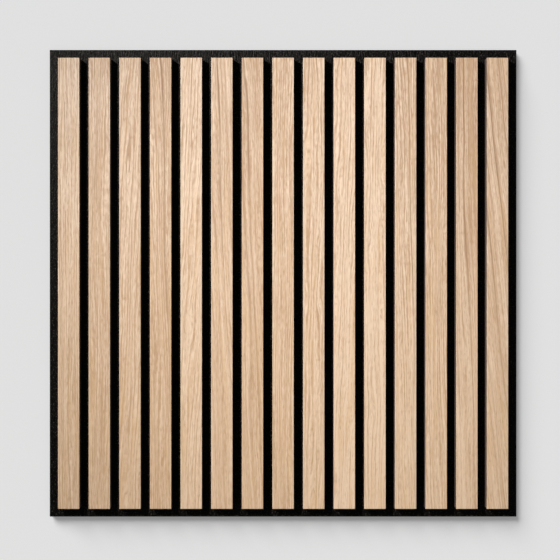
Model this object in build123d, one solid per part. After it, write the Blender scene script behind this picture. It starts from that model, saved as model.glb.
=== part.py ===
from build123d import *
import os

# Wood slat ceiling panel: a square of black felt that carries a row of oak-faced slats.
# Sizes are millimetres. The panel lies face up: the origin is the middle of the felt's back,
# the slats run along Y, stand side by side along X and face +Z.

# Felt backing
TILE_SIDE = 595.0  # a lay-in tile, 5 mm smaller than the 600 mm ceiling grid
FELT_THICKNESS = 9.0

# Slats
SLAT_WIDTH = 27.0
SLAT_GAP = 11.7
SIDE_RIM_LEAST = 12.0  # bare felt that the first and last slat leave for the grid's flange
END_RIM = 12.5  # bare felt beyond the ends of the slats
CORE_HEIGHT = 11.4  # dark fibreboard
VENEER_THICKNESS = 0.6  # oak
ARRIS = 0.25  # sanded edge round the oak face

# Staples that hold each slat from behind
STAPLES_PER_SLAT = 4
STAPLE_END = 45.0  # from a slat's end to its first staple
STAPLE_CROWN = 12.8  # outside width of the U, along the slat
STAPLE_COVER = 4.2  # fibreboard left between a staple's points and the veneer
STAPLE_SINK = 0.2  # how far the crown is driven below the felt's back
WIRE_WIDTH = 0.95
WIRE_DEPTH = 0.65
WIRE_BEND = 0.4  # outside corner of the bent wire
POINT_BEVEL = 0.6  # chisel point of each leg

# Places that follow from the sizes
SLAT_PITCH = SLAT_WIDTH + SLAT_GAP
SLAT_LENGTH = TILE_SIDE - 2 * END_RIM
SLAT_COUNT = int((TILE_SIDE - 2 * SIDE_RIM_LEAST + SLAT_GAP) // SLAT_PITCH)
CORE_TOP = FELT_THICKNESS + CORE_HEIGHT
STAPLE_TOP = CORE_TOP - STAPLE_COVER
STAPLE_SPACING = (SLAT_LENGTH - 2 * STAPLE_END) / (STAPLES_PER_SLAT - 1)

SITTING = (Align.CENTER, Align.CENTER, Align.MIN)


def slat_places(height):
    """The middle of every slat, from the left, at one height."""
    row = GridLocations(SLAT_PITCH, 0, SLAT_COUNT, 1)
    return [Pos(0, 0, height) * place for place in row]


def staple_places():
    """The middle of every staple, at the felt's back."""
    return list(GridLocations(SLAT_PITCH, STAPLE_SPACING, SLAT_COUNT, STAPLES_PER_SLAT))


def wire_leg_ends(side):
    """Inner and outer point of one leg's chisel tip, seen along X; side is -1 or 1."""
    outer = side * STAPLE_CROWN / 2
    inner = outer - side * WIRE_DEPTH
    return (inner, STAPLE_TOP - POINT_BEVEL), (outer, STAPLE_TOP)


def make_staple():
    """One U of flat wire: crown along Y just inside the felt's back, legs up into the core."""
    crown_back = STAPLE_SINK
    crown_front = crown_back + WIRE_DEPTH
    near_inner, near_outer = wire_leg_ends(-1)
    far_inner, far_outer = wire_leg_ends(1)
    outline = Polyline(
        near_outer,
        (near_outer[0], crown_back + WIRE_BEND),
        (near_outer[0] + WIRE_BEND, crown_back),
        (far_outer[0] - WIRE_BEND, crown_back),
        (far_outer[0], crown_back + WIRE_BEND),
        far_outer,
        far_inner,
        (far_inner[0], crown_front),
        (near_inner[0], crown_front),
        near_inner,
        close=True,
    )
    profile = Plane.YZ * make_face(outline)
    return extrude(profile, amount=WIRE_WIDTH / 2, both=True)


def make_crown_groove():
    """The dent that one driven crown leaves in the felt's back."""
    return Box(WIRE_WIDTH, STAPLE_CROWN, STAPLE_SINK + WIRE_DEPTH, align=SITTING)


def make_felt(staples):
    """The felt square, pierced by the legs and dented by the crowns of the staples."""
    square = Box(TILE_SIDE, TILE_SIDE, FELT_THICKNESS, align=SITTING)
    groove = make_crown_groove()
    dents = [place * groove for place in staple_places()]
    return square - dents - staples


def make_core(place, staples):
    """One fibreboard slat, pierced from below by its own staples."""
    bar = place * Box(SLAT_WIDTH, SLAT_LENGTH, CORE_HEIGHT, align=SITTING)
    return bar - staples


def make_veneer(place):
    """The oak face of one slat, with its upper edges eased."""
    sheet = Box(SLAT_WIDTH, SLAT_LENGTH, VENEER_THICKNESS, align=SITTING)
    upper_edges = sheet.faces().sort_by(Axis.Z)[-1].edges()
    return place * chamfer(upper_edges, ARRIS)


def write_part(shape, node):
    """One piece, or one group of like pieces, to its own file."""
    shape.label = node
    export_step(shape, os.path.join("parts", node + ".step"))


os.makedirs("parts", exist_ok=True)

one_staple = make_staple()
all_staples = [place * one_staple for place in staple_places()]

write_part(make_felt(all_staples), "felt_backing")
for index, place in enumerate(slat_places(FELT_THICKNESS)):
    first = index * STAPLES_PER_SLAT
    own_staples = all_staples[first:first + STAPLES_PER_SLAT]
    write_part(make_core(place, own_staples), f"slat_core_{index + 1:02d}")
for index, place in enumerate(slat_places(CORE_TOP)):
    write_part(make_veneer(place), f"slat_veneer_{index + 1:02d}")
write_part(Compound(children=all_staples), "staples")
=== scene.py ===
import math

import bpy
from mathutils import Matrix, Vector


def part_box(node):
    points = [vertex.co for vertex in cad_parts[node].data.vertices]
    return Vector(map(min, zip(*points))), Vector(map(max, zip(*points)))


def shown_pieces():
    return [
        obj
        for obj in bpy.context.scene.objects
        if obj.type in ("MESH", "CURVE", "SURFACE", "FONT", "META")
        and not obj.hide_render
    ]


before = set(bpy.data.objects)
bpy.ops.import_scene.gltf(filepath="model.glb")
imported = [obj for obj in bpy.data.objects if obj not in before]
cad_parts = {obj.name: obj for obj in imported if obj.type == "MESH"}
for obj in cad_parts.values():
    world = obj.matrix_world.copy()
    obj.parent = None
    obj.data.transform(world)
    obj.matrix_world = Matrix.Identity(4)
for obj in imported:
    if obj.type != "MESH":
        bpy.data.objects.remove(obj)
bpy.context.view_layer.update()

# Wood slat ceiling panel, seen from straight above: oak-faced slats on black felt, on a pale floor.
# Lengths are metres, in the panel's own frame: +Y along the slats, +Z out of their faces.

MM = 0.001
NOISE_MIDDLE = 0.5

# Photograph: its side, and the outline of the felt in it, in pixels
PHOTO_SIZE = 560
FELT_LEFT_PX = 49.8
FELT_RIGHT_PX = 516.4
FELT_TOP_PX = 49.6
FELT_BOTTOM_PX = 517.0

# Camera
CAMERA_ABOVE_SLATS = 1.26
SENSOR_WIDTH_MM = 36.0

# Oak: its palest and its darkest wood, its honey tint, which also paints a warm light on the slat's near
# end, its dark veins and its open pores
OAK_PALE = (0.960, 0.735, 0.545)
OAK_DARK = (0.536, 0.334, 0.199)
OAK_HONEY_AND_WARM_LIGHT = (0.75, 0.475, 0.235)
OAK_VEIN = (0.36, 0.205, 0.11)
OAK_PORE = (0.40, 0.25, 0.14)
OAK_SPECULAR = 0.6
OAK_ROUGHNESS = (0.62, 0.50)
OAK_RELIEF = 0.05 * MM

# Oak grain: size of each layer across and along the slat. A layer's place in this list picks its noise.
GRAIN_SIZES = {
    "drift": (16.0 * MM, 220.0 * MM),
    "sway": (6.0 * MM, 48.0 * MM),
    "band": (9.0 * MM, 300.0 * MM),
    "fade": (4.5 * MM, 60.0 * MM),
    "long line": (0.95 * MM, 240.0 * MM),
    "line": (0.95 * MM, 70.0 * MM),
    "short line": (0.95 * MM, 10.0 * MM),
    "dash": (1.6 * MM, 28.0 * MM),
    "fleck": (1.5 * MM, 5.5 * MM),
    "vein": (12.0 * MM, 90.0 * MM),
    "honey": (5.0 * MM, 120.0 * MM),
    "pore": (0.4 * MM, 6.0 * MM),
}
SLAT_SEED_STEP = 10.0

# Oak grain: the part of a layer's noise, which gathers round its middle, over which it takes effect
WANDER_RANGE = (0.2, 0.8)
LINE_RANGE = (0.35, 0.65)
FADE_RANGE = (0.30, 0.60)
DASH_RANGE = (0.58, 0.74)
VEIN_RANGE = (0.25, 0.60)
HONEY_RANGE = (0.48, 0.75)
PORE_RANGE = (0.60, 0.72)
PORE_LINE_RANGE = (0.35, 0.60)
GLOSS_RANGE = (0.3, 0.7)

# Oak grain: how far it wanders sideways, and how strong its parts are, some of them less or more so at the
# slat's near end, the -Y one; with them, a painted warm light at that end and a painted highlight along the
# edges
DRIFT = 2.6 * MM
SWAY = {"fine": 0.5 * MM, "flamed": 1.3 * MM, "broad": 0.7 * MM}
GRAIN_NEAR = 0.84
HALF_SWING = 0.5
VEIN_WIDTH = 3.0 * MM
VEIN_DEPTH = (0.5, 1.0)
VEIN_NEAR = 0.2
HONEY_SHARE = 0.24
# Painted warm light: how much honey tint the slat's near end gets.
PAINTED_WARM_LIGHT_NEAR = 0.30
PORE_SHARE = 0.40
PORE_IN_PALE = 0.25
# Painted highlight: how wide, and how much paler, the wood is along the slat's two long edges.
PAINTED_HIGHLIGHT_WIDTH = 1.3 * MM
PAINTED_EDGE_HIGHLIGHT = 0.25

# How far each layer pulls the wood between dark and pale, by the figure of the board
FIGURES = {
    "fine": {
        "band": 0.05, "long line": 0.34, "line": 0.42, "short line": 0.36,
        "ring": 0.46, "dash": 0.28, "fleck": 0.24,
    },
    "flamed": {
        "band": 0.06, "long line": 0.20, "line": 0.30, "short line": 0.34,
        "ring": 0.58, "dash": 0.25, "fleck": 0.24,
    },
    "broad": {
        "band": 0.28, "long line": 0.22, "line": 0.24, "short line": 0.28,
        "ring": 0.34, "dash": 0.26, "fleck": 0.22,
    },
}

# Growth rings: their spacing, where on their wave the dark begins, and what is left of them where they fade
RING_SPACING = {"fine": 3.2 * MM, "flamed": 4.6 * MM, "broad": 7.0 * MM}
RING_CREST = {"fine": 0.0, "flamed": -0.1, "broad": 0.3}
RING_LEAST = 0.1

# Each slat's board, from the left: how pale it is at its far and near end, where the change from end to end
# is partly painted light and shade, its figure, how far its grain leans to the right, in degrees, and how
# far its long dark veins run from the slat's middle
BOARDS = [
    (0.70, 0.56, "fine", 0.0, []),
    (0.48, 0.44, "fine", 0.2, []),
    (0.59, 0.57, "flamed", 2.6, []),
    (0.39, 0.42, "fine", -1.6, [8.0 * MM]),
    (0.72, 0.80, "flamed", 3.4, []),
    (0.55, 0.60, "broad", -2.5, [4.3 * MM]),
    (0.34, 0.53, "broad", -2.4, [1.0 * MM, -7.0 * MM]),
    (0.54, 0.51, "fine", 0.6, []),
    (0.64, 0.76, "flamed", 1.0, []),
    (0.76, 0.99, "flamed", 1.8, []),
    (0.80, 0.97, "flamed", 0.2, []),
    (0.50, 0.86, "fine", -1.2, [7.0 * MM]),
    (0.43, 0.72, "fine", -1.0, []),
    (0.25, 0.76, "broad", -1.6, [1.4 * MM]),
    (0.42, 0.65, "broad", -6.0, [-22.0 * MM, -4.0 * MM, 14.0 * MM]),
]

# Fibreboard
FIBREBOARD_DARK = (0.070, 0.050, 0.042)
FIBREBOARD_PALE = (0.155, 0.110, 0.088)
FIBREBOARD_RANGE = (0.25, 0.80)
FIBREBOARD_ROUGHNESS = 0.8
FIBREBOARD_SPECULAR = 0.2
FIBREBOARD_RELIEF = 0.15 * MM
SPECK_SIZE = (1.0 * MM, 1.6 * MM, 0.45 * MM)
SPECK_DETAIL = 3.0
SPECK_HARSHNESS = 0.7
PRESSED_LAYER_SIZE = (250.0 * MM, 250.0 * MM, 1.1 * MM)
PRESSED_LAYER_SHARE = 0.6

# Felt
FELT_BLACK = (0.0008, 0.0007, 0.0006)
FELT_FLECK = (0.050, 0.044, 0.038)
FELT_FLECK_SIZE = (1.8 * MM, 1.8 * MM, 1.8 * MM)
FELT_FLECK_RANGE = (0.56, 0.70)
FELT_FIBRE_SIZE = (1.2 * MM, 8.0 * MM, 1.2 * MM)
FELT_FIBRE_RANGE = (0.35, 0.65)
FELT_ROUGHNESS = (0.38, 0.56)
FELT_SPECULAR = 0.12
FELT_GLINT = (1.0, 0.93, 0.84)
FELT_RELIEF = 0.75 * MM
FELT_BUMP = 1.0

# Staple wire
WIRE_DULL = (0.45, 0.45, 0.44)
WIRE_BRIGHT = (0.72, 0.72, 0.70)
WIRE_BLOTCH_SIZE = (1.1 * MM, 2.0 * MM, 2.0 * MM)
WIRE_BLOTCH_RANGE = (0.3, 0.7)
WIRE_ROUGHNESS = (0.30, 0.50)

# Light
KEY_FROM = Vector((-1.07, 0.88, 1.31))
KEY_AIM = Vector((0.94, -0.55, 0.0))
KEY_POWER = 230.0
KEY_RADIUS = 0.04
KEY_CONE_DEG = 65.4
KEY_BLEND = 1.0
SOFT_FROM = Vector((-0.95, 1.35, 1.0))
SOFT_SPREAD_DEG = 37.0
SOFT_STRENGTH = 3.02
AMBIENT = 0.10

# Floor and backdrop
FLOOR_SIDE = 24.0
FLOOR_COLOUR = (0.92, 0.92, 0.92)
FLOOR_ROUGHNESS = 0.9
FLOOR_GLOW = 0.20
BACKDROP_LEVEL = 0.75
OVERHEAD_LEVEL = 0.04
BACKDROP_FADE = (0.35, 0.75)
WHITE = (1.0, 1.0, 1.0, 1.0)


class Nodes:
    """A node tree, with short calls for the nodes that the finishes and the studio share."""

    def __init__(self, tree):
        self.tree = tree

    def feed(self, socket, value):
        """Links another node's output to a socket, or sets the socket's own value."""
        if isinstance(value, bpy.types.NodeSocket):
            self.tree.links.new(value, socket)
        else:
            socket.default_value = value

    def add(self, kind, settings=None, **inputs):
        """A new node, with its settings, and its inputs fed by name."""
        node = self.tree.nodes.new(kind)
        for name, value in (settings or {}).items():
            setattr(node, name, value)
        for name, value in inputs.items():
            self.feed(node.inputs[name.replace("_", " ")], value)
        return node

    def place(self):
        """Where a point lies in the panel's frame."""
        return self.add("ShaderNodeTexCoord").outputs["Object"]

    def vector(self, operation, first, second):
        """One sum with two vectors."""
        node = self.add("ShaderNodeVectorMath", {"operation": operation})
        self.feed(node.inputs[0], first)
        self.feed(node.inputs[1], second)
        return node.outputs["Vector"]

    def number(self, operation, *values):
        """One sum with numbers."""
        node = self.add("ShaderNodeMath", {"operation": operation})
        for socket, value in zip(node.inputs, values):
            self.feed(socket, value)
        return node.outputs["Value"]

    def noise(self, place, size, seed=0.0, detail=1.0, roughness=0.55):
        """Soft noise from 0 to 1, whose lumps have a size along each axis."""
        scaled = self.vector("DIVIDE", place, size)
        node = self.add("ShaderNodeTexNoise", {"noise_dimensions": "4D"}, Vector=scaled, W=seed,
                        Scale=1.0, Detail=detail, Roughness=roughness)
        return node.outputs["Fac"]

    def span(self, value, low, high, out_low=0.0, out_high=1.0):
        """Eases a value from one range to another."""
        node = self.add("ShaderNodeMapRange", {"interpolation_type": "SMOOTHSTEP"})
        for socket, item in zip(node.inputs, (value, low, high, out_low, out_high)):
            self.feed(socket, item)
        return node.outputs["Result"]

    def mix(self, share, first, second):
        """One colour, or a share of another."""
        node = self.add("ShaderNodeMixRGB", Fac=share)
        self.feed(node.inputs["Color1"], first)
        self.feed(node.inputs["Color2"], second)
        return node.outputs["Color"]

    def bump(self, height, relief, strength=0.5):
        """A surface that rises by the relief where the height goes from 0 to 1."""
        node = self.add("ShaderNodeBump", Height=height, Distance=relief, Strength=strength)
        return node.outputs["Normal"]

    def seen_directly(self):
        """1 for what the camera sees, straight or by reflection, and 0 for light on the object."""
        path = self.add("ShaderNodeLightPath").outputs
        seen = self.number("MAXIMUM", path["Is Camera Ray"], path["Is Glossy Ray"])
        return self.number("MAXIMUM", seen, path["Is Transmission Ray"])


class Finish(Nodes):
    """A material with one shader."""

    def __init__(self, name):
        self.material = bpy.data.materials.new(name)
        self.material.use_nodes = True
        super().__init__(self.material.node_tree)

    def set(self, **inputs):
        """Feeds the shader's inputs by name."""
        shader = self.tree.nodes["Principled BSDF"]
        for name, value in inputs.items():
            self.feed(shader.inputs[name.replace("_", " ")], value)


class Oak(Finish):
    """The oak veneer of one slat, with a grain that runs along the slat and differs on each."""

    def __init__(self, slat, low, high):
        super().__init__(f"oak_{slat:02d}")
        self.slat = slat
        self.low = low
        self.high = high
        # Each end's paleness is partly the board's own tone and partly painted light and shade.
        self.far_paleness, self.near_paleness, self.figure, lean, self.veins = BOARDS[slat - 1]
        centre = ((low.x + high.x) / 2, 0.0, 0.0)
        local = self.vector("SUBTRACT", self.place(), centre)
        self.spot = self.add("ShaderNodeSeparateXYZ", Vector=local).outputs
        self.flowing = self.flow(local, lean)
        self.across = self.add("ShaderNodeSeparateXYZ", Vector=self.flowing).outputs["X"]
        self.layers = {}

    def grain(self, place, name):
        """One layer of the grain, drawn out along the slat."""
        across, along = GRAIN_SIZES[name]
        seed = SLAT_SEED_STEP * self.slat + list(GRAIN_SIZES).index(name)
        return self.noise(place, (across, along, along), seed, detail=0.0)

    def flow(self, local, lean):
        """Where a point lies in the grain, which leans, drifts and sways across the slat."""
        turn = (0.0, 0.0, math.radians(lean))
        leaning = self.add("ShaderNodeMapping", Vector=local, Rotation=turn).outputs["Vector"]
        reach = SWAY[self.figure]
        drift = self.span(self.grain(leaning, "drift"), *WANDER_RANGE, -DRIFT, DRIFT)
        sway = self.span(self.grain(leaning, "sway"), *WANDER_RANGE, -reach, reach)
        sideways = self.add("ShaderNodeCombineXYZ", X=self.number("ADD", drift, sway))
        return self.vector("ADD", leaning, sideways.outputs["Vector"])

    def layer(self, name):
        """A layer of the flowing grain, added when it is first asked for."""
        if name not in self.layers:
            self.layers[name] = self.grain(self.flowing, name)
        return self.layers[name]

    def along(self, near, far):
        """A value that eases from the slat's near end to its far end."""
        return self.span(self.spot["Y"], self.low.y, self.high.y, near, far)

    def pull(self):
        """How far bands, lines, growth rings, dashes and flecks pull the wood from its own paleness."""
        swing = FIGURES[self.figure]
        pull = 0.0
        for name in ("band", "long line", "line", "short line"):
            offset = self.span(self.layer(name), *LINE_RANGE, -HALF_SWING, HALF_SWING)
            pull = self.number("MULTIPLY_ADD", offset, swing[name], pull)
        turns = self.number("MULTIPLY", self.across, 2 * math.pi / RING_SPACING[self.figure])
        fading = self.span(self.layer("fade"), *FADE_RANGE, RING_LEAST * swing["ring"], swing["ring"])
        ring = self.span(self.number("SINE", turns), RING_CREST[self.figure], 1.0, 0.0, fading)
        pull = self.number("SUBTRACT", pull, ring)
        for name in ("dash", "fleck"):
            darker = self.span(self.layer(name), *DASH_RANGE, 0.0, swing[name])
            pull = self.number("SUBTRACT", pull, darker)
        return pull

    def tone(self):
        """From 0 for the darkest wood to 1 for the palest; its change from end to end is partly painted
        light and shade, and a painted highlight makes it paler along the slat's two edges.
        """
        # The paleness eases from end to end, partly the board's own tone and partly painted light and
        # shade.
        paleness = self.along(self.near_paleness, self.far_paleness)
        tone = self.number("MULTIPLY_ADD", self.pull(), self.along(GRAIN_NEAR, 1.0), paleness)
        # Painted highlight: the wood turns paler along the slat's two long edges.
        half = (self.high.x - self.low.x) / 2
        off_middle = self.number("ABSOLUTE", self.spot["X"])
        edge_highlight_share = self.span(off_middle, half - PAINTED_HIGHLIGHT_WIDTH, half, 0.0, PAINTED_EDGE_HIGHLIGHT)
        return self.number("ADD", tone, edge_highlight_share)

    def pores(self):
        """Open pores, most of them in the dark lines."""
        in_line = self.span(self.layer("line"), *PORE_LINE_RANGE, 1.0, PORE_IN_PALE)
        return self.number("MULTIPLY", self.span(self.layer("pore"), *PORE_RANGE), in_line)

    def tinted(self, wood):
        """The wood with honey streaks, and a painted warm light towards the near end."""
        streak = self.span(self.layer("honey"), *HONEY_RANGE, 0.0, HONEY_SHARE)
        # Painted warm light: the honey share grows towards the slat's near end.
        honey = self.number("ADD", streak, self.along(PAINTED_WARM_LIGHT_NEAR, 0.0))
        return self.mix(honey, wood, rgba(OAK_HONEY_AND_WARM_LIGHT))

    def veined(self, wood):
        """The wood with its long dark veins, which fade towards the near end."""
        for vein in self.veins:
            depth = self.span(self.layer("vein"), *VEIN_RANGE, *VEIN_DEPTH)
            depth = self.number("MULTIPLY", depth, self.along(VEIN_NEAR, 1.0))
            off_vein = self.number("ABSOLUTE", self.number("SUBTRACT", self.across, vein))
            share = self.span(off_vein, 0.0, VEIN_WIDTH / 2, depth, 0.0)
            wood = self.mix(share, wood, rgba(OAK_VEIN))
        return wood


def rgba(colour):
    """A colour that lets nothing through."""
    return (*colour, 1.0)


def oak_finish(number, low, high):
    """Sanded oak veneer under matt lacquer, with open pores."""
    oak = Oak(number, low, high)
    tone = oak.tone()
    pore = oak.pores()
    wood = oak.mix(tone, rgba(OAK_DARK), rgba(OAK_PALE))
    wood = oak.veined(oak.tinted(wood))
    wood = oak.mix(oak.number("MULTIPLY", pore, PORE_SHARE), wood, rgba(OAK_PORE))
    oak.set(
        Base_Color=wood,
        Roughness=oak.span(oak.layer("line"), *GLOSS_RANGE, *OAK_ROUGHNESS),
        Specular_IOR_Level=OAK_SPECULAR,
        Normal=oak.bump(oak.number("SUBTRACT", tone, pore), OAK_RELIEF),
    )
    return oak.material


def fibreboard_finish():
    """Dark dyed fibreboard: sawn sides with fine fibre specks and thin pressed layers."""
    finish = Finish("fibreboard")
    place = finish.place()
    speck = finish.noise(place, SPECK_SIZE, detail=SPECK_DETAIL, roughness=SPECK_HARSHNESS)
    layer = finish.number("SUBTRACT", finish.noise(place, PRESSED_LAYER_SIZE), NOISE_MIDDLE)
    shade = finish.number("MULTIPLY_ADD", layer, PRESSED_LAYER_SHARE, speck)
    shade = finish.span(shade, *FIBREBOARD_RANGE)
    finish.set(
        Base_Color=finish.mix(shade, rgba(FIBREBOARD_DARK), rgba(FIBREBOARD_PALE)),
        Roughness=FIBREBOARD_ROUGHNESS,
        Specular_IOR_Level=FIBREBOARD_SPECULAR,
        Normal=finish.bump(speck, FIBREBOARD_RELIEF),
    )
    return finish.material


def felt_finish():
    """Needled black felt: matted fibres, some of them paler, with a faint gloss towards the light."""
    finish = Finish("felt")
    place = finish.place()
    fibre = finish.noise(place, FELT_FIBRE_SIZE)
    fleck = finish.span(finish.noise(place, FELT_FLECK_SIZE), *FELT_FLECK_RANGE)
    finish.set(
        Base_Color=finish.mix(fleck, rgba(FELT_BLACK), rgba(FELT_FLECK)),
        Roughness=finish.span(fibre, *FELT_FIBRE_RANGE, *FELT_ROUGHNESS),
        Specular_IOR_Level=FELT_SPECULAR,
        Specular_Tint=rgba(FELT_GLINT),
        Normal=finish.bump(fibre, FELT_RELIEF, FELT_BUMP),
    )
    return finish.material


def wire_finish():
    """Galvanised staple wire, a little dull and blotched."""
    finish = Finish("staple_wire")
    blotch = finish.noise(finish.place(), WIRE_BLOTCH_SIZE)
    finish.set(
        Base_Color=finish.mix(blotch, rgba(WIRE_DULL), rgba(WIRE_BRIGHT)),
        Metallic=1.0,
        Roughness=finish.span(blotch, *WIRE_BLOTCH_RANGE, *WIRE_ROUGHNESS),
    )
    return finish.material


def paint():
    """Puts a finish on every CAD piece."""
    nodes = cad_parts
    nodes["felt_backing"].data.materials[0] = felt_finish()
    nodes["staples"].data.materials[0] = wire_finish()
    fibreboard = fibreboard_finish()
    for number in range(1, len(BOARDS) + 1):
        veneer = f"slat_veneer_{number:02d}"
        nodes[veneer].data.materials[0] = oak_finish(number, *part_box(veneer))
        nodes[f"slat_core_{number:02d}"].data.materials[0] = fibreboard


def add_object(name, data):
    """A new object in the scene."""
    added = bpy.data.objects.new(name, data)
    bpy.context.scene.collection.objects.link(added)
    return added


def light_only(lamp, objects):
    """Keeps a lamp to some objects; everything still casts its shadow in it."""
    lit = bpy.data.collections.new(lamp.name + "_lights")
    for lit_object in objects:
        lit.objects.link(lit_object)
    lamp.light_linking.receiver_collection = lit


def build_key():
    """A small lamp at the upper left for the panel, whose cone is brightest towards the lower right."""
    data = bpy.data.lights.new("key", "SPOT")
    data.energy = KEY_POWER
    data.shadow_soft_size = KEY_RADIUS
    data.spot_size = math.radians(KEY_CONE_DEG)
    data.spot_blend = KEY_BLEND
    key = add_object("key", data)
    key.location = KEY_FROM
    key.rotation_euler = (KEY_AIM - KEY_FROM).to_track_quat("-Z", "Y").to_euler()
    light_only(key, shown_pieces())


def floor_finish():
    """Pale matt floor. Part of its paleness is seen only by the camera, and the shadow stays."""
    finish = Finish("floor")
    finish.set(
        Base_Color=rgba(FLOOR_COLOUR),
        Roughness=FLOOR_ROUGHNESS,
        Specular_IOR_Level=0.0,
        Emission_Color=WHITE,
        Emission_Strength=finish.number("MULTIPLY", finish.seen_directly(), FLOOR_GLOW),
    )
    return finish.material


def build_floor():
    """A flat square under the panel's back."""
    half = FLOOR_SIDE / 2
    corners = [(-half, -half, 0), (half, -half, 0), (half, half, 0), (-half, half, 0)]
    mesh = bpy.data.meshes.new("floor")
    mesh.from_pydata(corners, [], [(0, 1, 2, 3)])
    mesh.materials.append(floor_finish())
    floor = add_object("floor", mesh)
    return floor


def build_soft(floor):
    """A wide, distant lamp at the upper left for the floor, which gives the panel its soft shadow."""
    data = bpy.data.lights.new("soft", "SUN")
    data.energy = SOFT_STRENGTH
    data.angle = math.radians(SOFT_SPREAD_DEG)
    soft = add_object("soft", data)
    soft.rotation_euler = SOFT_FROM.to_track_quat("Z", "Y").to_euler()
    light_only(soft, [floor])


def build_world():
    """A faint even light for the object, and for the camera a backdrop that is pale round the horizon."""
    world = bpy.data.worlds.new("studio")
    world.use_nodes = True
    bpy.context.scene.world = world
    studio = Nodes(world.node_tree)
    direction = studio.add("ShaderNodeTexCoord").outputs["Generated"]
    upward = studio.add("ShaderNodeSeparateXYZ", Vector=direction).outputs["Z"]
    backdrop = studio.span(upward, *BACKDROP_FADE, BACKDROP_LEVEL, OVERHEAD_LEVEL)
    seen = studio.seen_directly()
    unseen = studio.number("SUBTRACT", 1.0, seen)
    shown = studio.number("MULTIPLY", seen, backdrop)
    level = studio.number("MULTIPLY_ADD", unseen, AMBIENT, shown)
    background = studio.tree.nodes["Background"]
    studio.feed(background.inputs["Color"], WHITE)
    studio.feed(background.inputs["Strength"], level)


def build_camera():
    """Straight down, with the felt's outline where the photograph has it."""
    low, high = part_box("felt_backing")
    slat_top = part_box("slat_veneer_01")[1].z
    pixel = (high.x - low.x) / (FELT_RIGHT_PX - FELT_LEFT_PX)
    height = slat_top + CAMERA_ABOVE_SLATS
    right_px = (FELT_LEFT_PX + FELT_RIGHT_PX - PHOTO_SIZE) / 2
    down_px = (FELT_TOP_PX + FELT_BOTTOM_PX - PHOTO_SIZE) / 2
    data = bpy.data.cameras.new("camera")
    data.sensor_width = SENSOR_WIDTH_MM
    data.lens = SENSOR_WIDTH_MM * (height - high.z) / (PHOTO_SIZE * pixel)
    camera = add_object("camera", data)
    camera.location = (
        (low.x + high.x) / 2 - right_px * pixel,
        (low.y + high.y) / 2 + down_px * pixel,
        height,
    )
    bpy.context.scene.camera = camera


bpy.context.scene.view_settings.view_transform = "Standard"
paint()
build_key()
build_soft(build_floor())
build_world()
build_camera()
